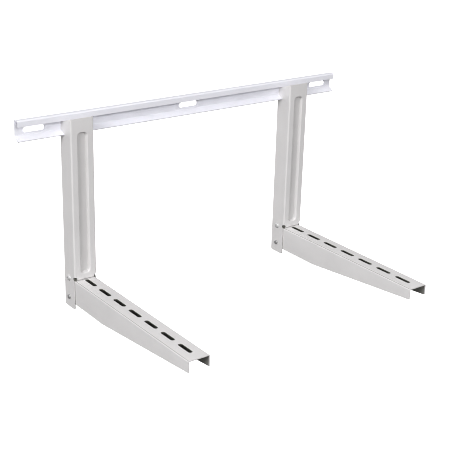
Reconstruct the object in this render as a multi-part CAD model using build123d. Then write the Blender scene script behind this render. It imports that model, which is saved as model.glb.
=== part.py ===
from build123d import *
from math import hypot, sqrt
import os

os.makedirs("parts", exist_ok=True)

# All sizes in mm. X runs along the rail, the wall is the plane y = 0, and +Z is up.
# "Reach" is the distance out from the wall. Heights are taken from the rail's top
# and the whole set is then moved so that the origin is the middle wall slot.

# Folded sheet steel
GAUGE = 2.0
FOLD_IN = 1.0
FOLD_OUT = FOLD_IN + GAUGE
RUNNING_GAP = 0.3
NEST_GAP = 0.1

# Wall rail
RAIL_LENGTH = 800.0
RAIL_HEIGHT = 42.2
RAIL_LIP_REACH = 14.7
RAIL_LIP_DROP = 13.0
RAIL_WEB_DROP = 33.5
RAIL_SHELF_REACH = 14.1
WALL_SLOT_LENGTH = 46.0
WALL_SLOT_WIDTH = 11.0
WALL_SLOT_DROP = 22.5
WALL_SLOT_END = 40.0
WALL_SLOT_COUNT = 3

# Uprights
LEFT_BRACKET_INSET = 123.3
RIGHT_BRACKET_INSET = 127.1
UPRIGHT_WIDTH = 51.0
UPRIGHT_REACH = 42.1
UPRIGHT_TOP_DROP = 4.7
UPRIGHT_FOOT_DROP = 409.4
UPRIGHT_TOE_RADIUS = 4.0
UPRIGHT_HEEL_RADIUS = 3.0
TONGUE_CORNER = 1.6
BEAD_MOUTH = 23.0
BEAD_FLOOR = 17.0
BEAD_DEPTH = 5.5
BEAD_BELOW_TOP = 28.3
BEAD_ABOVE_ARM = 13.9
BEAD_END_RADIUS = 8.0
BEAD_RIM_RADIUS = 1.2
RELIEF_RADIUS = 4.3
RELIEF_ABOVE_ARM = 4.0
SEAT_REACH = 25.0
SEAT_INSET = 5.0

# Arms
ARM_ABOVE_FOOT = 64.5
ARM_REACH = 446.6
ARM_ROOT_HEIGHT = 52.8
ARM_TIP_HEIGHT = 23.5
ARM_TAPER_REACH = 148.6
ARM_PLATE_REACH = 36.0
ARM_WALL_GAP = 1.5
EAR_RISE = 15.0
EAR_REACH = 33.0
EAR_CORNER = 7.0
ARM_TIP_CORNER = 2.5
FOOT_SLOT_FIRST = 63.4
FOOT_SLOT_LAST = 44.2
FOOT_SLOT_COUNT = 7
FOOT_SLOT_LENGTH = 40.0
FOOT_SLOT_WIDTH = 9.0

# Rivets, bolts, nuts and washers that hold an arm in its upright
FIXING_REACH = 18.0
RIVET_ABOVE_ARM = 0.9
RIVET_SHANK_RADIUS = 3.2
RIVET_HEAD_RADIUS = 6.6
RIVET_HEAD_RISE = 3.4
RIVET_DOME = (0.66, 0.74)
RIVET_CORE_RADIUS = 2.0
RIVET_CORE_DEPTH = 1.8
RIVET_TAIL_RADIUS = 4.9
RIVET_TAIL_RISE = 5.0
RIVET_TAIL_BEVEL = 1.4
BOLT_ABOVE_EDGE = 11.2
BOLT_RADIUS = 3.0
BOLT_LENGTH = 16.0
BOLT_POINT_BEVEL = 0.7
BOLT_HEAD_RADIUS = 5.25
BOLT_HEAD_RISE = 3.3
BOLT_DOME = (0.66, 0.88)
BOLT_CROWN_RADIUS = 3.0
BOLT_SOCKET_FLATS = 4.0
BOLT_SOCKET_DEPTH = 2.0
HOLE_GAP = 0.2
WASHER_RADIUS = 6.0
WASHER_THICKNESS = 1.6
NUT_FLATS = 10.0
NUT_HEIGHT = 5.0
NUT_THREAD_GAP = 0.05
NUT_CHAMFER = 0.8

# Sizes that follow from the ones above
WALL_SLOT_SPACING = (RAIL_LENGTH - 2 * WALL_SLOT_END) / (WALL_SLOT_COUNT - 1)
LEFT_BRACKET_X = LEFT_BRACKET_INSET - RAIL_LENGTH / 2
RIGHT_BRACKET_X = RAIL_LENGTH / 2 - RIGHT_BRACKET_INSET
ARM_TOP_DROP = UPRIGHT_FOOT_DROP - ARM_ABOVE_FOOT
ARM_WIDTH = UPRIGHT_WIDTH - 2 * (GAUGE + NEST_GAP)
ARM_FOOT_DROP = ARM_TOP_DROP + ARM_ROOT_HEIGHT
WEB_FOOT_DROP = ARM_TOP_DROP - RUNNING_GAP
RELIEF_DROP = ARM_TOP_DROP - RELIEF_ABOVE_ARM
BEAD_TOP_DROP = UPRIGHT_TOP_DROP + BEAD_BELOW_TOP
BEAD_FOOT_DROP = ARM_TOP_DROP - BEAD_ABOVE_ARM
RIVET_DROP = ARM_TOP_DROP - RIVET_ABOVE_ARM
BOLT_DROP = ARM_FOOT_DROP - BOLT_ABOVE_EDGE
FOOT_SLOT_PITCH = (ARM_REACH - FOOT_SLOT_FIRST - FOOT_SLOT_LAST) / (FOOT_SLOT_COUNT - 1)
LOWER_FLANGE_REACH = UPRIGHT_REACH - FOLD_OUT
EAR_NOTCH_DROP = ARM_TOP_DROP + FOLD_OUT + RUNNING_GAP
OVERCUT = 5.0


def unit(a, b):
    """Unit vector from one point to another."""
    run = hypot(b[0] - a[0], b[1] - a[1])
    return (b[0] - a[0]) / run, (b[1] - a[1]) / run


def shifted(path, gap):
    """The path moved to its left by a gap, with mitred corners."""
    ways = [unit(a, b) for a, b in zip(path, path[1:])]
    sides = [(-v, u) for u, v in ways]
    moved = []
    for i, (px, py) in enumerate(path):
        m = sides[max(i - 1, 0)]
        n = sides[min(i, len(sides) - 1)]
        k = gap / (1 + m[0] * n[0] + m[1] * n[1])
        moved.append((px + k * (m[0] + n[0]), py + k * (m[1] + n[1])))
    return moved


def folded(path):
    """Section of a sheet whose outer skin follows a path that turns left at each fold."""
    inner = shifted(path, GAUGE)
    skin = FilletPolyline(*path, radius=FOLD_OUT)
    back = FilletPolyline(*inner, radius=FOLD_IN)
    return make_face([skin, Line(path[-1], inner[-1]), back, Line(inner[0], path[0])])


def side_plate(points, width, rounded=()):
    """Plate seen from the side, points as (reach, drop), standing across the bracket."""
    face = make_face(Polyline(*[(-reach, -drop) for reach, drop in points], close=True))
    for corner, radius in rounded:
        reach, drop = points[corner]
        spot = face.vertices().sort_by_distance((-reach, -drop, 0))[0]
        face = fillet(spot, radius)
    return extrude(Plane.YZ * face, amount=width / 2, both=True)


def pin_along_x(radius, length, drop):
    """Round bar through the bracket from side to side."""
    return Pos(0, -FIXING_REACH, -drop) * Rot(0, 90, 0) * Cylinder(radius, length)


def rail_path():
    """Outer skin of the rail: lip, top, web and the sloping shelf at its foot."""
    return [
        (-RAIL_LIP_REACH, -RAIL_LIP_DROP),
        (-RAIL_LIP_REACH, 0),
        (0, 0),
        (0, -RAIL_WEB_DROP),
        (-RAIL_SHELF_REACH, -RAIL_HEIGHT),
    ]


def wall_rail():
    """C-shaped rail with a turned-down lip, a sloping shelf and slots for wall screws."""
    mirrored = [(-y, z) for y, z in rail_path()]
    section = mirror(folded(mirrored), about=Plane.YZ)
    rail = extrude(Plane.YZ * section, amount=RAIL_LENGTH / 2, both=True)
    slot = Plane.XZ * SlotOverall(WALL_SLOT_LENGTH, WALL_SLOT_WIDTH)
    cutter = extrude(slot, amount=GAUGE + OVERCUT, both=True)
    for i in range(WALL_SLOT_COUNT):
        x = (i - (WALL_SLOT_COUNT - 1) / 2) * WALL_SLOT_SPACING
        rail -= Pos(x, 0, -WALL_SLOT_DROP) * cutter
    return rail


def bead_body(grow, top, floor):
    """Trough of the pressed groove between two depths, grown sideways by an amount."""
    slope = (BEAD_MOUTH - BEAD_FLOOR) / 2 / BEAD_DEPTH
    middle = (BEAD_TOP_DROP + BEAD_FOOT_DROP) / 2
    front = Plane(origin=(0, -UPRIGHT_REACH, -middle), x_dir=(1, 0, 0), z_dir=(0, -1, 0))
    rings = []
    for depth in (top, floor):
        side = 2 * (grow - depth * slope)
        ring = RectangleRounded(
            BEAD_MOUTH + side,
            BEAD_FOOT_DROP - BEAD_TOP_DROP + side,
            BEAD_END_RADIUS + side / 2,
        )
        rings.append(front.offset(-depth) * ring)
    return loft(rings, ruled=True)


def bead_wall_growth():
    """Sideways growth that keeps the pressed wall one gauge thick on its slope."""
    slope = (BEAD_MOUTH - BEAD_FLOOR) / 2 / BEAD_DEPTH
    return GAUGE * sqrt(1 + slope * slope)


def upright_side():
    """Side outline of an upright: hook in the rail, slot for the shelf, wall edge and toe.

    The flanges slope from under the rail's lip up to the top of the web.
    """
    shelf = [(0, RAIL_WEB_DROP), (RAIL_SHELF_REACH, RAIL_HEIGHT)]
    along = unit(*shelf)
    under = [(r, d) for r, d in shifted(shelf, RUNNING_GAP)]
    over = [(r, d) for r, d in shifted(shelf, -GAUGE - RUNNING_GAP)]
    tongue_back = GAUGE + RUNNING_GAP
    tongue_front = RAIL_LIP_REACH - GAUGE - RUNNING_GAP
    rise = (tongue_back - over[0][0]) / along[0]
    past = [(r + along[0] * RUNNING_GAP, d + along[1] * RUNNING_GAP) for r, d in (under[1], over[1])]
    lip_gap = RAIL_LIP_REACH + RUNNING_GAP
    return [
        (UPRIGHT_REACH - FOLD_OUT, UPRIGHT_TOP_DROP),
        (UPRIGHT_REACH, UPRIGHT_TOP_DROP),
        (UPRIGHT_REACH, RELIEF_DROP),
        (LOWER_FLANGE_REACH, RELIEF_DROP),
        (LOWER_FLANGE_REACH, UPRIGHT_FOOT_DROP),
        (0, UPRIGHT_FOOT_DROP),
        (0, under[0][1] - under[0][0] * along[1] / along[0]),
        past[0],
        past[1],
        (tongue_back, over[0][1] + rise * along[1]),
        (tongue_back, GAUGE + RUNNING_GAP),
        (tongue_front, GAUGE + RUNNING_GAP),
        (tongue_front, RAIL_LIP_DROP + RUNNING_GAP),
        (lip_gap, RAIL_LIP_DROP + RUNNING_GAP),
    ]


def seat():
    """Foot of the web, folded back over the arm's plate between the two relief holes."""
    down, back = -RELIEF_DROP, -WEB_FOOT_DROP
    section = folded([(-UPRIGHT_REACH, down), (-UPRIGHT_REACH, back), (-SEAT_REACH, back)])
    return extrude(Plane.YZ * section, amount=UPRIGHT_WIDTH / 2 - SEAT_INSET, both=True)


def upright():
    """Folded channel with a pressed groove, relieved corners and a hook for the rail."""
    half = UPRIGHT_WIDTH / 2
    path = [(-half, 0), (-half, -UPRIGHT_REACH), (half, -UPRIGHT_REACH), (half, 0)]
    body = extrude(folded(path), amount=-UPRIGHT_FOOT_DROP)
    rounded = [(4, UPRIGHT_TOE_RADIUS), (5, UPRIGHT_HEEL_RADIUS)]
    rounded += [(10, TONGUE_CORNER), (11, TONGUE_CORNER)]
    body &= side_plate(upright_side(), UPRIGHT_WIDTH, rounded)
    body += seat()
    body += bead_body(bead_wall_growth(), 0, BEAD_DEPTH + GAUGE)
    body -= bead_body(0, -GAUGE, BEAD_DEPTH)
    rim = body.edges().filter_by_position(Axis.Y, -UPRIGHT_REACH, -UPRIGHT_REACH)
    rim = rim.filter_by(lambda e: abs(e.center().X) < (BEAD_MOUTH + FOLD_IN) / 2)
    rim = rim.filter_by(lambda e: BEAD_TOP_DROP - FOLD_IN < -e.center().Z < BEAD_FOOT_DROP + FOLD_IN)
    body = fillet(rim, BEAD_RIM_RADIUS)
    for turn in (-1, 1):
        corner = Pos(turn * half, -UPRIGHT_REACH, -RELIEF_DROP) * Rot(0, 0, turn * 45)
        body -= corner * Rot(90, 0, 0) * Cylinder(RELIEF_RADIUS, 2 * (FOLD_OUT + OVERCUT))
    body -= pin_along_x(RIVET_SHANK_RADIUS + HOLE_GAP / 2, UPRIGHT_WIDTH + OVERCUT, RIVET_DROP)
    body -= pin_along_x(BOLT_RADIUS + HOLE_GAP, UPRIGHT_WIDTH + OVERCUT, BOLT_DROP)
    return body


def arm_flange_side():
    """Side outline of the arm's root, where its flanges rise inside the upright as ears."""
    return [
        (ARM_WALL_GAP, ARM_FOOT_DROP),
        (ARM_PLATE_REACH, ARM_FOOT_DROP),
        (ARM_PLATE_REACH, EAR_NOTCH_DROP),
        (EAR_REACH, EAR_NOTCH_DROP),
        (EAR_REACH, ARM_TOP_DROP - EAR_RISE),
        (ARM_WALL_GAP, ARM_TOP_DROP - EAR_RISE),
    ]


def arm():
    """Upturned channel that tapers to its tip, with a row of slots for the unit's feet."""
    half = ARM_WIDTH / 2
    path = [(half, -ARM_FOOT_DROP), (half, -ARM_TOP_DROP)]
    path += [(-half, -ARM_TOP_DROP), (-half, -ARM_FOOT_DROP)]
    start = Plane(origin=(0, -ARM_PLATE_REACH, 0), x_dir=(1, 0, 0), z_dir=(0, -1, 0))
    body = extrude(start * folded(path), amount=ARM_REACH - ARM_PLATE_REACH)
    taper = [
        (ARM_TAPER_REACH, ARM_FOOT_DROP),
        (ARM_REACH, ARM_TOP_DROP + ARM_TIP_HEIGHT),
        (ARM_REACH + OVERCUT, ARM_TOP_DROP + ARM_TIP_HEIGHT),
        (ARM_REACH + OVERCUT, ARM_FOOT_DROP + OVERCUT),
        (ARM_TAPER_REACH, ARM_FOOT_DROP + OVERCUT),
    ]
    body -= side_plate(taper, UPRIGHT_WIDTH)
    ears = side_plate(arm_flange_side(), ARM_WIDTH, [(4, EAR_CORNER), (5, EAR_CORNER)])
    hollow = Box(ARM_WIDTH - 2 * GAUGE, 2 * ARM_PLATE_REACH, 2 * (ARM_ROOT_HEIGHT + OVERCUT))
    body += ears - Pos(0, -ARM_PLATE_REACH / 2, -ARM_TOP_DROP) * hollow
    slot = Rot(0, 0, 90) * SlotOverall(FOOT_SLOT_LENGTH, FOOT_SLOT_WIDTH)
    slot = extrude(slot, amount=OVERCUT, both=True)
    for i in range(FOOT_SLOT_COUNT):
        body -= Pos(0, -FOOT_SLOT_FIRST - i * FOOT_SLOT_PITCH, -ARM_TOP_DROP) * slot
    body -= pin_along_x(RIVET_SHANK_RADIUS + HOLE_GAP / 2, UPRIGHT_WIDTH, RIVET_DROP)
    body -= pin_along_x(BOLT_RADIUS + HOLE_GAP, UPRIGHT_WIDTH, BOLT_DROP)
    return body


def turned(points, dome=None):
    """Solid turned about X from (distance along, radius) points; dome bulges one side."""
    edges = []
    for i, (a, b) in enumerate(zip(points, points[1:])):
        if dome and dome[0] == i:
            edges.append(ThreePointArc(a, dome[1], b))
        else:
            edges.append(Line(a, b))
    edges.append(Line(points[-1], points[0]))
    return revolve(make_face(edges), Axis.X)


def rivet():
    """Blind rivet: domed head round the broken pin, shank through both sheets, bulb inside."""
    tail = -2 * GAUGE - NEST_GAP
    half_way = (RIVET_HEAD_RISE * RIVET_DOME[0], RIVET_HEAD_RADIUS * RIVET_DOME[1])
    points = [
        (RIVET_HEAD_RISE - RIVET_CORE_DEPTH, 0),
        (RIVET_HEAD_RISE - RIVET_CORE_DEPTH, RIVET_CORE_RADIUS),
        (RIVET_HEAD_RISE, RIVET_CORE_RADIUS),
        (0, RIVET_HEAD_RADIUS),
        (0, RIVET_SHANK_RADIUS),
        (tail, RIVET_SHANK_RADIUS),
        (tail, RIVET_TAIL_RADIUS),
        (tail - RIVET_TAIL_RISE + RIVET_TAIL_BEVEL, RIVET_TAIL_RADIUS),
        (tail - RIVET_TAIL_RISE, RIVET_TAIL_RADIUS - RIVET_TAIL_BEVEL),
        (tail - RIVET_TAIL_RISE, 0),
    ]
    return turned(points, (2, half_way))


def bolt():
    """Button-head bolt with a hexagon socket, its point just through the nut."""
    shoulder = (BOLT_HEAD_RISE * BOLT_DOME[0], BOLT_HEAD_RADIUS * BOLT_DOME[1])
    points = [
        (BOLT_HEAD_RISE, 0),
        (BOLT_HEAD_RISE, BOLT_CROWN_RADIUS),
        (0, BOLT_HEAD_RADIUS),
        (0, BOLT_RADIUS),
        (BOLT_POINT_BEVEL - BOLT_LENGTH, BOLT_RADIUS),
        (-BOLT_LENGTH, BOLT_RADIUS - BOLT_POINT_BEVEL),
        (-BOLT_LENGTH, 0),
    ]
    socket = RegularPolygon(BOLT_SOCKET_FLATS / 2, 6, major_radius=False)
    cutter = extrude(Plane.YZ.offset(BOLT_HEAD_RISE) * socket, amount=-BOLT_SOCKET_DEPTH)
    return turned(points, (1, shoulder)) - cutter


def washer():
    """Plain washer, its outer face against the arm's flange."""
    ring = Circle(WASHER_RADIUS) - Circle(BOLT_RADIUS + HOLE_GAP)
    return extrude(Plane.YZ * ring, amount=-WASHER_THICKNESS)


def nut():
    """Hexagon nut with both faces chamfered."""
    hexagon = RegularPolygon(NUT_FLATS / 2, 6, major_radius=False) - Circle(BOLT_RADIUS + NUT_THREAD_GAP)
    block = extrude(Plane.YZ * hexagon, amount=-NUT_HEIGHT)
    corner = NUT_FLATS / sqrt(3)
    crown = [
        (0, 0),
        (0, corner - NUT_CHAMFER),
        (-NUT_CHAMFER / 2, corner),
        (NUT_CHAMFER / 2 - NUT_HEIGHT, corner),
        (-NUT_HEIGHT, corner - NUT_CHAMFER),
        (-NUT_HEIGHT, 0),
    ]
    return block & turned(crown)


def pair(piece, inset, drop):
    """The same fastener on both sides of a bracket, facing outwards."""
    right = Pos(UPRIGHT_WIDTH / 2 - inset, -FIXING_REACH, -drop) * piece
    return [right, mirror(right, about=Plane.YZ)]


def bracket():
    """Every piece of one bracket about its own middle plane, by name."""
    inside = 2 * GAUGE + NEST_GAP
    return {
        "upright": [upright()],
        "arm": [arm()],
        "arm_rivets": pair(rivet(), 0, RIVET_DROP),
        "arm_bolts": pair(bolt(), 0, BOLT_DROP),
        "bolt_washers": pair(washer(), inside, BOLT_DROP),
        "bolt_nuts": pair(nut(), inside + WASHER_THICKNESS, BOLT_DROP),
    }


def save(name, pieces, x=0.0):
    """One STEP file per node, moved to its place along the rail."""
    place = Pos(x, 0, WALL_SLOT_DROP)
    solids = [s for piece in pieces for s in (place * piece).solids()]
    shape = solids[0] if len(solids) == 1 else Compound(children=solids)
    shape.label = name
    export_step(shape, f"parts/{name}.step")


save("wall_rail", [wall_rail()])
for side, x in (("left", LEFT_BRACKET_X), ("right", RIGHT_BRACKET_X)):
    for name, pieces in bracket().items():
        save(f"{side}_{name}", pieces, x)
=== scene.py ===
"""Air conditioner outdoor unit bracket: finishes, fasteners, light and camera round the solids."""
import math

import bmesh
import bpy
import numpy as np
from mathutils import Matrix, Vector


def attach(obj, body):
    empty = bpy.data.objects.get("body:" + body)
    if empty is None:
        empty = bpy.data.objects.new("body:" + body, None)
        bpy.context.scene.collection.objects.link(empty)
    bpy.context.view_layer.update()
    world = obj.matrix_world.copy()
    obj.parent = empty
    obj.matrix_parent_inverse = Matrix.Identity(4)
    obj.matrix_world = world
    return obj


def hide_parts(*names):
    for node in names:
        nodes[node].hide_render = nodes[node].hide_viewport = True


MM = 0.001

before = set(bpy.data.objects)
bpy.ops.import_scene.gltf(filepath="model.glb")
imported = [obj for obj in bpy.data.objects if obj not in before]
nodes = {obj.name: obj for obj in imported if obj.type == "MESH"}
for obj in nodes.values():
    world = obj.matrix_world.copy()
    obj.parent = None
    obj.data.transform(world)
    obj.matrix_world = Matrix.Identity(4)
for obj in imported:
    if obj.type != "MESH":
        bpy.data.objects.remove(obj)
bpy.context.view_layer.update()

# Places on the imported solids, in metres: the brackets' middle planes, the arms' upper skin and
# open end, the uprights' web and a height over all of it, half widths over the flanges and of the
# folded-back foot, and where an arm's plate goes under that foot, which no part of an upright does
MIDDLES = {"left": -0.2767, "right": 0.2729}
ARM_TOP, ARM_TIP = -0.3224, -0.4466
UPRIGHT_FRONT, OVER_UPRIGHT = -0.0421, 0.05
UPRIGHT_HALF, ARM_HALF, FOOT_HALF = 0.0255, 0.0234, 0.0204
NESTED_END, NEVER_NESTED = -0.0388, 1.0

# How much painted shade shows high up in an upright, at an arm's tip and in the groove
OPEN_SHADE_SHARE, TIP_SHADE_SHARE, GROOVE_SHADE_SHARE = 0.3, 0.82, 0.14

# Edges that the painted shade's share is worked out from: where each starts and ends, in metres from
# the place it belongs to in the function that works out the painted shade. TURNED_TO_WALL is the y of
# the skin's own direction.
WHOLE = (0.0, 1.0)
TURNED_TO_WALL = (0.3, 0.6)
FLANGE_FACE = (-5 * MM, -4 * MM)
FOOT_AND_PLATE = (9 * MM, 8 * MM)
UNDER_FLANGE_SKIN = (-0.8 * MM, -1.2 * MM)
BEHIND_WEB_SKIN = (0.9 * MM, 1.3 * MM)
UNDER_PLATE_SKIN = (-0.15 * MM, -0.5 * MM)
UP_THE_UPRIGHT = (20 * MM, 110 * MM)
FROM_THE_TIP = (0.0, 35 * MM)
GROOVE_DEEP, GROOVE_WIDE, GROOVE_LOW = (1 * MM, 4 * MM), (12.6 * MM, 11.4 * MM), (5 * MM, 8 * MM)
UNDER_FOOT, PLATE_HIGH = (-0.5 * MM, 0.5 * MM), (-3.5 * MM, -2.5 * MM)
CORNER_FAR, CORNER_HIGH, CORNER_OUT = (-0.6 * MM, 0.0), (-1.2 * MM, -0.6 * MM), (-3.5 * MM, -2.5 * MM)

# Finishes: colours, pattern sizes and heights in metres
# Painted shade: the dark olive grey mixed into the brackets' channels, groove and relief holes for
# the shadow there
PAINTED_SHADE_GREY = "#6C6C65"
BRACKET_LIGHT, BRACKET_DARK = "#E1DFDF", "#DCDADA"
MOTTLE_SIZE, PEEL_SIZE, PEEL_HEIGHT, PEEL_STRENGTH = 60 * MM, 2.4 * MM, 0.05 * MM, 0.22
EDGE_ROUNDING, EDGE_SAMPLES = 0.5 * MM, 6
POWDER_ROUGHNESS = (0.39, 0.46)
POWDER_IOR = 1.5
GRIT_HEIGHT, GRIT_STRENGTH = 0.02 * MM, 0.3
NOISE_LOW, NOISE_HIGH = 0.3, 0.7

# Fasteners in mm, each about its own axis, outwards from the sheet: place, head, thread, ring, nut
FASTENER_REACH, BOLT_HEIGHT, HALF_WIDTH, SHEETS = 18.0, -364.0, 25.5, 4.1
HEAD_RADIUS, HEAD_RISE, CROWN_RADIUS = 5.25, 3.3, 3.0
DOME_SHOULDER, DOME_STEPS = (2.178, 4.62), 12
SOCKET_FLATS, SOCKET_DEPTH, SOCKET_POINT = 4.0, 2.0, 0.5
SOCKET_CHAMFER_DEEP, SOCKET_CHAMFER_WIDE = 0.15, 0.12
THREAD_CREST, THREAD_ROOT, THREAD_PITCH, PITCH_STEPS = 3.0, 2.4, 1.0, 10
THREAD_START, BOLT_LENGTH, POINT_BEVEL = 2.0, 16.0, 0.7
WAVE_HEIGHT, WAVE_SLOPE = 1.65, 4
WASHER_RADIUS, WASHER_BORE, WASHER_THICKNESS, WASHER_EDGE = 6.0, 3.2, 1.6, 0.2
NUT_FLATS, NUT_HEIGHT, NUT_FACE_RADIUS, NUT_SLOPE = 10.0, 5.0, 4.95, 0.5
NUT_BORE, NUT_BORE_CHAMFER = 3.05, 0.35
ROUND_STEPS = 96

# The arm's ears and the end of its plate between them, and what counts as one place, in metres,
# and the fold in degrees from which an edge stays sharp
EAR_FRONT, EAR_ROUNDING, EAR_NOTCH, EAR_FORWARD = -0.033, -0.026, 0.0034, 0.0027
PLATE_END, PLATE_HALF, PLATE_BACKWARD = -0.036, 0.0209, 0.0025
SAME_PLACE, DOUBLED_POINT = 0.02 * MM, 0.0001 * MM
SHARP_FOLD = 38

# Studio: the floor's height, half side, glow and roughness, the room's strengths and horizon, the
# softboxes' aim, way off and side in metres, and each one's name, degrees to the left of straight
# ahead of the wall, degrees of lift and watts
FLOOR, FLOOR_HALF, FLOOR_GLOW, FLOOR_ROUGHNESS = -0.62, 30, 0.9, 0.9
ROOM_LEFT, ROOM_RIGHT, ROOM_FLOOR, HORIZON = 1.2, 0.45, 0.02, (-0.02, 0.02)
LIGHT_AIM, LIGHT_AWAY, LIGHT_SIZE = (0, -0.2, -0.2), 6.4, 2.0
SOFTBOXES = (
    ("left_softbox", 70, 30, 165),
    ("front_softbox", 20, 25, 181),
    ("right_softbox", -20, 25, 43),
    ("top_softbox", 20, 75, 36),
    ("far_right_softbox", -100, 12, 112),
    ("wall_softbox", 180, 12, 128),
)

# Camera fitted to the photograph's edges: its turn, tilt and roll in degrees, the middle of the
# rail's top in its axes right, up and ahead in mm, and its lens
CAMERA_TURN, CAMERA_TILT, CAMERA_ROLL = 36.97, 21.12, 1.58
RAIL_FROM_CAMERA = (-77.7, 276.4, 2202.0)
ORIGIN_BELOW_RAIL_TOP = 22.5
FOCAL_PIXELS, FRAME_PIXELS, SENSOR = 1044.0, 449, 36.0
NEAR_CLIP, FAR_CLIP = 0.05, 100


def linear(hex_colour):
    """Linear RGBA of an sRGB hex colour: ((c + 0.055) / 1.055) ** 2.4, or c / 12.92 near black."""
    srgb = [int(hex_colour[i : i + 2], 16) / 255 for i in (1, 3, 5)]
    return [c / 12.92 if c <= 0.04045 else ((c + 0.055) / 1.055) ** 2.4 for c in srgb] + [1.0]


def node(tree, kind, links=None, **settings):
    """One shader node: settings are its properties or input values, links maps inputs to sockets."""
    made = tree.nodes.new(kind)
    for name, value in settings.items():
        if hasattr(made, name) and name not in made.inputs:
            setattr(made, name, value)
        else:
            made.inputs[name.replace("_", " ")].default_value = value
    for name, socket in (links or {}).items():
        tree.links.new(socket, made.inputs[name])
    return made


def new_material(name):
    """Empty node material with a Principled shader wired to its output."""
    made = bpy.data.materials.new(name)
    made.use_nodes = True
    tree = made.node_tree
    tree.nodes.clear()
    shader = node(tree, "ShaderNodeBsdfPrincipled")
    node(tree, "ShaderNodeOutputMaterial", {"Surface": shader.outputs["BSDF"]})
    return made, tree, shader


def new_object(name, data):
    """Object of its own data, put into the scene."""
    made = bpy.data.objects.new(name, data)
    bpy.context.scene.collection.objects.link(made)
    return made


def dress(obj, material):
    """Puts one material in every slot of an object."""
    slots = obj.data.materials
    if not slots:
        slots.append(material)
    for i in range(len(slots)):
        slots[i] = material


def largest_share(tree, zones):
    """Largest over the zones of the product of each zone's shares.

    A share is a value, a place and an edge, and may give two levels: it goes straight from the
    first level to the second, or from 0 to 1, while the value goes from the place plus the edge's
    start to the place plus its end, and is level beyond.
    """
    largest = None
    for zone in zones:
        product = None
        for value, place, (start, end), *levels in zone:
            low, high = levels[0] if levels else WHOLE
            span = {"From_Min": place + start, "From_Max": place + end, "To_Min": low, "To_Max": high}
            share = node(tree, "ShaderNodeMapRange", {"Value": value}, **span).outputs["Result"]
            if product is not None:
                pair = {0: product, 1: share}
                share = node(tree, "ShaderNodeMath", pair, operation="MULTIPLY").outputs["Value"]
            product = share
        if largest is not None:
            pair = {0: largest, 1: product}
            product = node(tree, "ShaderNodeMath", pair, operation="MAXIMUM").outputs["Value"]
        largest = product
    return largest


def painted_channel_shade(tree, place, middle, half_width, front, upper, nested):
    """Share of painted shade on the skin: 1 inside a folded channel, where shadow falls, and 0
    outside.

    The inside is nearer the middle plane than half_width less half a gauge, behind the front skin
    and under the upper one, and there either a flange's inner face, or a face turned to the wall,
    or the folded-back foot and the arm's plate, which lie under the groove's end. Up the upright
    the share falls to OPEN_SHADE_SHARE, and at an arm's tip to TIP_SHADE_SHARE.

    An arm's upper skin has painted shade too where it is nearer the wall than nested, and so has its
    rounded corner beside the foot from 3 mm further out, where the relief holes show it. The
    pressed groove's floor and walls have GROOVE_SHADE_SHARE of painted shade, darkening the recess.
    """
    centred = node(tree, "ShaderNodeMapping", {"Vector": place}, Location=(-middle, 0, 0))
    x, y, z = node(tree, "ShaderNodeSeparateXYZ", {"Vector": centred.outputs["Vector"]}).outputs
    aside = node(tree, "ShaderNodeMath", {0: x}, operation="ABSOLUTE").outputs["Value"]
    facing = node(tree, "ShaderNodeNewGeometry").outputs["True Normal"]
    to_wall = node(tree, "ShaderNodeSeparateXYZ", {"Vector": facing}).outputs["Y"]
    flange = [(aside, half_width, FLANGE_FACE)]
    back = [(to_wall, 0.0, TURNED_TO_WALL)]
    foot = [(z, ARM_TOP, FOOT_AND_PLATE)]
    inside = [
        (largest_share(tree, [flange, back, foot]), 0.0, WHOLE),
        (aside, half_width, UNDER_FLANGE_SKIN),
        (y, front, BEHIND_WEB_SKIN),
        (z, upper, UNDER_PLATE_SKIN),
        (z, ARM_TOP, UP_THE_UPRIGHT, (1.0, OPEN_SHADE_SHARE)),
        (y, ARM_TIP, FROM_THE_TIP, (TIP_SHADE_SHARE, 1.0)),
    ]
    # Painted shade on the pressed groove's floor and walls
    groove = [
        (y, front, GROOVE_DEEP),
        (aside, 0.0, GROOVE_WIDE),
        (z, ARM_TOP, GROOVE_LOW, (0.0, GROOVE_SHADE_SHARE)),
    ]
    # Painted shade on the arm's plate under the foot and on its corner seen through the relief holes
    under_foot = [(y, nested, UNDER_FOOT), (z, ARM_TOP, PLATE_HIGH)]
    corner = [
        (aside, FOOT_HALF, CORNER_FAR),
        (z, ARM_TOP, CORNER_HIGH),
        (y, nested, CORNER_OUT),
    ]
    return largest_share(tree, [inside, groove, under_foot, corner])


def mottled(tree, pattern, light, dark):
    """Colour that goes from dark to light while a noise pattern goes from low to high."""
    amount = largest_share(tree, [[(pattern, 0.0, (NOISE_LOW, NOISE_HIGH))]])
    blend = node(tree, "ShaderNodeMix", {"Factor": amount}, data_type="RGBA")
    blend.inputs[6].default_value, blend.inputs[7].default_value = linear(dark), linear(light)
    return blend.outputs[2]


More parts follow.
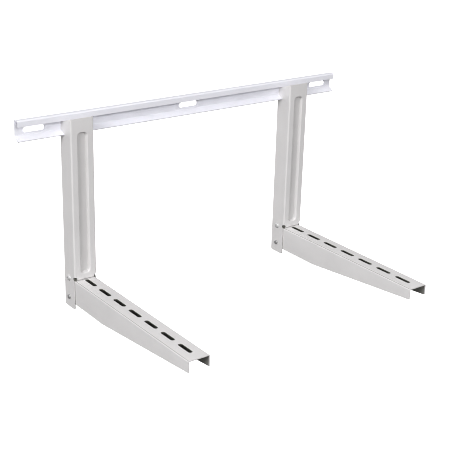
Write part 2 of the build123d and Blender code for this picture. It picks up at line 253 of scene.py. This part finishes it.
def powder_coat(name, light, dark, inside=None):
    """Polyester powder coat, baked on sheet steel: satin, with the orange peel of melted powder.

    Orange peel is 2 to 3 mm across on a real coat, and its hills are a little rougher than its
    hollows. The film's thickness changes slowly, over 60 mm, and mottles the colour. Inside a
    folded channel the colour is mixed towards a dark olive grey: painted shade for the shadow there.
    """
    made, tree, shader = new_material(name)
    place = node(tree, "ShaderNodeTexCoord").outputs["Object"]
    mottle = {"Scale": 1 / MOTTLE_SIZE, "Detail": 3.0, "Roughness": 0.5}
    thickness = node(tree, "ShaderNodeTexNoise", {"Vector": place}, **mottle).outputs["Fac"]
    tint = mottled(tree, thickness, light, dark)
    # Painted shade: the colour is mixed towards a dark grey inside the channel
    if inside:
        share = painted_channel_shade(tree, place, *inside)
        painted_shade_mix = node(tree, "ShaderNodeMix", {"Factor": share, 6: tint}, data_type="RGBA")
        painted_shade_mix.inputs[7].default_value = linear(PAINTED_SHADE_GREY)
        tint = painted_shade_mix.outputs[2]
    tree.links.new(tint, shader.inputs["Base Color"])
    orange_peel = {"Scale": 1 / PEEL_SIZE, "Detail": 2.0, "Roughness": 0.4}
    peel = node(tree, "ShaderNodeTexNoise", {"Vector": place}, **orange_peel).outputs["Fac"]
    round_edge = node(tree, "ShaderNodeBevel", samples=EDGE_SAMPLES, Radius=EDGE_ROUNDING)
    bump = node(
        tree,
        "ShaderNodeBump",
        {"Height": peel, "Normal": round_edge.outputs["Normal"]},
        Strength=PEEL_STRENGTH,
        Distance=PEEL_HEIGHT,
    )
    tree.links.new(bump.outputs["Normal"], shader.inputs["Normal"])
    gloss = largest_share(tree, [[(peel, 0.0, (NOISE_LOW, NOISE_HIGH), POWDER_ROUGHNESS)]])
    tree.links.new(gloss, shader.inputs["Roughness"])
    shader.inputs["IOR"].default_value = POWDER_IOR
    return made


def zinc_plate(name, light, dark, grain, roughness, metallic=1.0):
    """Zinc plate on turned, pressed or punched steel: a mottled pale grey film with fine grit.

    The grit, grain mm across, blurs what it mirrors into a soft sheen. A dull or chromated film
    scatters more light than it mirrors, and so it is less metallic.
    """
    made, tree, shader = new_material(name)
    place = node(tree, "ShaderNodeTexCoord").outputs["Object"]
    fine_grit = {"Scale": 1 / (grain * MM), "Detail": 4.0, "Roughness": 0.6}
    grit = node(tree, "ShaderNodeTexNoise", {"Vector": place}, **fine_grit).outputs["Fac"]
    tree.links.new(mottled(tree, grit, light, dark), shader.inputs["Base Color"])
    heights = {"Strength": GRIT_STRENGTH, "Distance": GRIT_HEIGHT}
    bump = node(tree, "ShaderNodeBump", {"Height": grit}, **heights)
    tree.links.new(bump.outputs["Normal"], shader.inputs["Normal"])
    shader.inputs["Metallic"].default_value = metallic
    shader.inputs["Roughness"].default_value = roughness
    return made


# The rail's coat is a cool white and the brackets' a light grey, both satin. The rivets' heads are
# dull and nearly match the coat, the bolts are darker and the washers and nuts mirror the most.
finishes = {
    "wall_rail": powder_coat("powder_coat_cool_white", "#F3F3FA", "#EFEFF6"),
    "arm_rivets": zinc_plate("zinc_plated_rivet", "#D2D2D2", "#C4C4C4", 1.0, 0.55, metallic=0.3),
    "arm_bolts": zinc_plate("zinc_plated_bolt", "#B0B0B0", "#9A9A9B", 0.8, 0.48, metallic=0.6),
    "bolt_washers": zinc_plate("zinc_plated_washer", "#C9CCD0", "#A9ADB3", 1.2, 0.34),
    "bolt_nuts": zinc_plate("zinc_plated_nut", "#C3C6CB", "#A3A7AD", 1.0, 0.36),
}
# The brackets' coats have painted shade mixed in inside their channels
for side, middle in MIDDLES.items():
    for kind, channel in (
        ("upright", (middle, UPRIGHT_HALF, UPRIGHT_FRONT, OVER_UPRIGHT, NEVER_NESTED)),
        ("arm", (middle, ARM_HALF, ARM_TIP, ARM_TOP, NESTED_END)),
    ):
        coat = f"powder_coat_light_grey_{side}_{kind}"
        finishes[f"{side}_{kind}"] = powder_coat(coat, BRACKET_LIGHT, BRACKET_DARK, channel)
for name, obj in nodes.items():
    dress(obj, finishes[name if name in finishes else name.split("_", 1)[1]])


def hexagon(angles, flats):
    """Radius at each angle: half the flats over the cosine of the angle from a flat's middle."""
    sixth = math.pi / 3
    return flats / 2 / np.cos((angles + sixth / 2) % sixth - sixth / 2)


def arc_through(a, b, c, count):
    """Points (along, radius) on the circle through three points, at equal angles from a to c."""
    (ax, ay), (bx, by), (cx, cy) = a, b, c
    square = [ax * ax + ay * ay, bx * bx + by * by, cx * cx + cy * cy]
    d = 2 * (ax * (by - cy) + bx * (cy - ay) + cx * (ay - by))
    mx = (square[0] * (by - cy) + square[1] * (cy - ay) + square[2] * (ay - by)) / d
    my = (square[0] * (cx - bx) + square[1] * (ax - cx) + square[2] * (bx - ax)) / d
    first, last = math.atan2(ay - my, ax - mx), math.atan2(cy - my, cx - mx)
    turn = first + (last - first) * np.linspace(0, 1, count)
    size = math.hypot(ax - mx, ay - my)
    return np.stack([mx + size * np.cos(turn), my + size * np.sin(turn)], axis=1)


def round_about(rows, closed):
    """Closed skin from rows of (along, radius) over the angle: x = along, y and z = radius round x.

    Along and radius are each one number or one for every angle. The rows join up end to end where
    closed, as in a ring, and otherwise the first and the last have radius 0 and become one point.
    """
    turn = np.linspace(0, 2 * math.pi, ROUND_STEPS, endpoint=False)
    along, radius = (
        np.array([np.broadcast_to(part, turn.shape) for part in column]) for column in zip(*rows)
    )
    points = np.stack([along, radius * np.cos(turn), radius * np.sin(turn)], axis=2)
    count = len(along)
    row = np.arange(count if closed else count - 1)[:, None] * ROUND_STEPS
    below = (row + ROUND_STEPS) % (count * ROUND_STEPS)
    step = np.arange(ROUND_STEPS)[None]
    beside = (step + 1) % ROUND_STEPS
    quads = np.stack([row + step, below + step, below + beside, row + beside], axis=2)
    return points.reshape(-1, 3), quads.reshape(-1, 4)


def bolt_skin():
    """Button-head bolt: hexagon socket, crown, dome, flat underside, then a thread to its point.

    The thread's radius is its root plus its depth times a trapezoid wave of the way along in
    pitches plus the turn, so that its ridge climbs one pitch a turn.
    """
    turn = np.linspace(0, 2 * math.pi, ROUND_STEPS, endpoint=False)
    socket = hexagon(turn, SOCKET_FLATS)
    floor_at = HEAD_RISE - SOCKET_DEPTH
    dome = arc_through((HEAD_RISE, CROWN_RADIUS), DOME_SHOULDER, (0.0, HEAD_RADIUS), DOME_STEPS)
    deep = np.arange(THREAD_START, BOLT_LENGTH, THREAD_PITCH / PITCH_STEPS)[1:]
    phase = (deep[:, None] / THREAD_PITCH + turn[None] / (2 * math.pi)) % 1
    wave = np.clip(WAVE_HEIGHT - WAVE_SLOPE * np.abs(phase - 0.5), 0, 1)
    fade = np.clip((deep - THREAD_START) / THREAD_PITCH, 0, 1)[:, None]
    depth = (THREAD_CREST - THREAD_ROOT) * (1 - wave) * fade
    point = THREAD_CREST - POINT_BEVEL
    thread = np.minimum(THREAD_CREST - depth, point + (BOLT_LENGTH - deep)[:, None])
    rows = [
        (floor_at - SOCKET_POINT, 0.0),
        (floor_at, socket),
        (HEAD_RISE - SOCKET_CHAMFER_DEEP, socket),
        (HEAD_RISE, socket + SOCKET_CHAMFER_WIDE),
        *dome,
        (0.0, THREAD_CREST),
        (-THREAD_START, THREAD_CREST),
        *zip(-deep, thread),
        (-BOLT_LENGTH, point),
        (-BOLT_LENGTH, 0.0),
    ]
    return round_about(rows, False)


def nut_skin():
    """Hexagon nut: each face is a circle whose cone cuts the flats in scallops, as turning does."""
    outer = hexagon(np.linspace(0, 2 * math.pi, ROUND_STEPS, endpoint=False), NUT_FLATS)
    scallop = (outer - NUT_FACE_RADIUS) * NUT_SLOPE
    wide = NUT_BORE + NUT_BORE_CHAMFER
    rows = [
        (0.0, wide),
        (0.0, NUT_FACE_RADIUS),
        (-scallop, outer),
        (scallop - NUT_HEIGHT, outer),
        (-NUT_HEIGHT, NUT_FACE_RADIUS),
        (-NUT_HEIGHT, wide),
        (NUT_BORE_CHAMFER - NUT_HEIGHT, NUT_BORE),
        (-NUT_BORE_CHAMFER, NUT_BORE),
    ]
    return round_about(rows, True)


def washer_skin():
    """Plain washer: a ring whose punched edge is rounded on its outer face."""
    rows = [
        (0.0, WASHER_BORE),
        (0.0, WASHER_RADIUS - WASHER_EDGE),
        (-WASHER_EDGE, WASHER_RADIUS),
        (-WASHER_THICKNESS, WASHER_RADIUS),
        (-WASHER_THICKNESS, WASHER_BORE),
    ]
    return round_about(rows, True)


def close_and_shade(mesh):
    """Merges a skin's doubled points, points its faces outwards and keeps its folds sharp."""
    if "custom_normal" in mesh.attributes:
        mesh.attributes.remove(mesh.attributes["custom_normal"])
    shape = bmesh.new()
    shape.from_mesh(mesh)
    bmesh.ops.remove_doubles(shape, verts=shape.verts, dist=DOUBLED_POINT)
    bmesh.ops.recalc_face_normals(shape, faces=shape.faces)
    shape.to_mesh(mesh)
    shape.free()
    mesh.shade_smooth()
    mesh.set_sharp_from_angle(angle=math.radians(SHARP_FOLD))


def fastener_pair(name, skin, middle, inset):
    """The same fastener on both flanges of a bracket, its axis across the flange, in metres."""
    points, quads = skin
    far = points + [HALF_WIDTH - inset, 0, 0]
    near = far * [-1, 1, 1]
    place = [middle / MM, -FASTENER_REACH, BOLT_HEIGHT]
    both = (np.concatenate([far, near]) + place) * MM
    faces = np.concatenate([quads, quads[:, ::-1] + len(points)])
    mesh = bpy.data.meshes.new(name)
    mesh.from_pydata(both.tolist(), [], faces.tolist())
    close_and_shade(mesh)
    return new_object(name, mesh)


def arm_with_close_ears(name, arm, middle):
    """The arm's skin with its ears longer: y falls by EAR_FORWARD times a share of the ear's front.

    The share grows from 0 at the foot of the ear's rounding to 1 at its front edge, so that the
    ear reaches nearly to the plate. The plate's end between the ears goes PLATE_BACKWARD the other
    way. So no light falls through the notch beside the plate into the relief holes.
    """
    mesh = arm.data.copy()
    mesh.name = name
    points = np.empty(3 * len(mesh.vertices))
    mesh.vertices.foreach_get("co", points)
    x, y, z = points.reshape(-1, 3).T
    above_notch = z > ARM_TOP - EAR_NOTCH
    ear = (y > EAR_FRONT - SAME_PLACE) & above_notch
    plate_end = (np.abs(y - PLATE_END) < SAME_PLACE) & (np.abs(x - middle) < PLATE_HALF) & above_notch
    share = np.clip((EAR_ROUNDING - y) / (EAR_ROUNDING - EAR_FRONT), 0, 1)
    y += np.where(plate_end, PLATE_BACKWARD, 0) - np.where(ear, share, 0) * EAR_FORWARD
    mesh.vertices.foreach_set("co", points)
    close_and_shade(mesh)
    return new_object(name, mesh)


for side, middle in MIDDLES.items():
    for kind, skin, inset in (
        ("arm_bolts", bolt_skin(), 0.0),
        ("bolt_washers", washer_skin(), SHEETS),
        ("bolt_nuts", nut_skin(), SHEETS + WASHER_THICKNESS),
    ):
        piece = fastener_pair(f"{side}_turned_{kind}", skin, middle, inset)
        dress(piece, finishes[kind])
        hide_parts(f"{side}_{kind}")
        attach(piece, f"{side}_bracket")
    piece = arm_with_close_ears(f"{side}_arm_channel", nodes[f"{side}_arm"], middle)
    dress(piece, finishes[f"{side}_arm"])
    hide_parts(f"{side}_arm")
    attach(piece, f"{side}_bracket")

# Studio: a pale glowing floor well below the bracket, room light from both sides and six
# softboxes. The floor sends no light up, so the hollow sides of the sheet metal stay dark, as
# they are over the paper roll of a product shot.
floor_mesh = bpy.data.meshes.new("studio_floor")
corners = [(x * FLOOR_HALF, y * FLOOR_HALF, FLOOR) for x, y in ((-1, -1), (1, -1), (1, 1), (-1, 1))]
floor_mesh.from_pydata(corners, [], [(0, 1, 2, 3)])
floor = new_object("studio_floor", floor_mesh)
floor.visible_diffuse = False
floor.visible_glossy = False
floor_finish, floor_tree, floor_shader = new_material("pale_studio_floor")
floor_shader.inputs["Base Color"].default_value = linear("#FAFAFA")
floor_shader.inputs["Roughness"].default_value = FLOOR_ROUGHNESS
floor_shader.inputs["Specular IOR Level"].default_value = 0.0
floor_shader.inputs["Emission Color"].default_value = linear("#FFFFFF")
floor_shader.inputs["Emission Strength"].default_value = FLOOR_GLOW
dress(floor, floor_finish)


def studio_air():
    """Room light: over the horizon it grows to the left and right, under it the room is dim.

    Its strength is ROOM_FLOOR, and over the horizon it grows to ROOM_LEFT and to ROOM_RIGHT with
    the sideways part of the way looked along. What the camera itself sees of the room is plain
    white, as the floor is.
    """
    world = bpy.data.worlds.new("studio_air")
    world.use_nodes = True
    tree = world.node_tree
    way = node(tree, "ShaderNodeTexCoord").outputs["Generated"]
    x, y, z = node(tree, "ShaderNodeSeparateXYZ", {"Vector": way}).outputs
    over = (z, 0.0, HORIZON)
    left = [over, (x, -1.0, WHOLE, (ROOM_LEFT - ROOM_FLOOR, 0.0))]
    right = [over, (x, 0.0, WHOLE, (0.0, ROOM_RIGHT - ROOM_FLOOR))]
    glow = node(tree, "ShaderNodeMath", {0: largest_share(tree, [left, right])}, operation="ADD")
    glow.inputs[1].default_value = ROOM_FLOOR
    seen = node(tree, "ShaderNodeLightPath").outputs["Is Camera Ray"]
    shown = node(tree, "ShaderNodeMix", {"Factor": seen, 2: glow.outputs["Value"]})
    shown.inputs[3].default_value = 1.0
    tree.nodes["Background"].inputs["Color"].default_value = linear("#FFFFFF")
    tree.links.new(shown.outputs[0], tree.nodes["Background"].inputs["Strength"])
    bpy.context.scene.world = world


def softbox(name, turn, lift, power):
    """Square area light that looks at LIGHT_AIM from LIGHT_AWAY off."""
    lamp = bpy.data.lights.new(name, "AREA")
    lamp.size, lamp.energy = LIGHT_SIZE, power
    a, e = math.radians(turn), math.radians(lift)
    way = Vector((-math.sin(a) * math.cos(e), -math.cos(a) * math.cos(e), math.sin(e)))
    box = new_object(name, lamp)
    box.location = Vector(LIGHT_AIM) + LIGHT_AWAY * way
    box.rotation_mode = "QUATERNION"
    box.rotation_quaternion = (-way).to_track_quat("-Z", "Y")


def photo_camera():
    """Camera whose axes are right, up and back: right and up turned by the roll."""
    a, p, r = (math.radians(v) for v in (CAMERA_TURN, CAMERA_TILT, CAMERA_ROLL))
    ahead = np.array([math.sin(a) * math.cos(p), math.cos(a) * math.cos(p), -math.sin(p)])
    right = np.array([math.cos(a), -math.sin(a), 0.0])
    up = np.cross(right, ahead)
    right, up = math.cos(r) * right + math.sin(r) * up, math.cos(r) * up - math.sin(r) * right
    axes = np.array([right, up, ahead])
    place = np.array([0, 0, ORIGIN_BELOW_RAIL_TOP]) - axes.T @ np.array(RAIL_FROM_CAMERA)
    lens = bpy.data.cameras.new("photo_camera")
    lens.sensor_width = SENSOR
    lens.lens = FOCAL_PIXELS / FRAME_PIXELS * SENSOR
    lens.clip_start, lens.clip_end = NEAR_CLIP, FAR_CLIP
    camera = new_object("photo_camera", lens)
    turn = Matrix([[right[i], up[i], -ahead[i]] for i in range(3)]).to_4x4()
    camera.matrix_world = Matrix.Translation(Vector(place * MM)) @ turn
    bpy.context.scene.camera = camera


studio_air()
for box in SOFTBOXES:
    softbox(*box)
photo_camera()

# Colours come out as they are set, and the pixel filter is narrow, as the photograph is sharpened
scene = bpy.context.scene
scene.view_settings.view_transform = "Standard"
scene.view_settings.look = "None"
scene.view_settings.exposure = 0.0
scene.cycles.max_bounces = 8
scene.cycles.diffuse_bounces = 5
scene.cycles.filter_width = 1.0

bpy.context.view_layer.update()
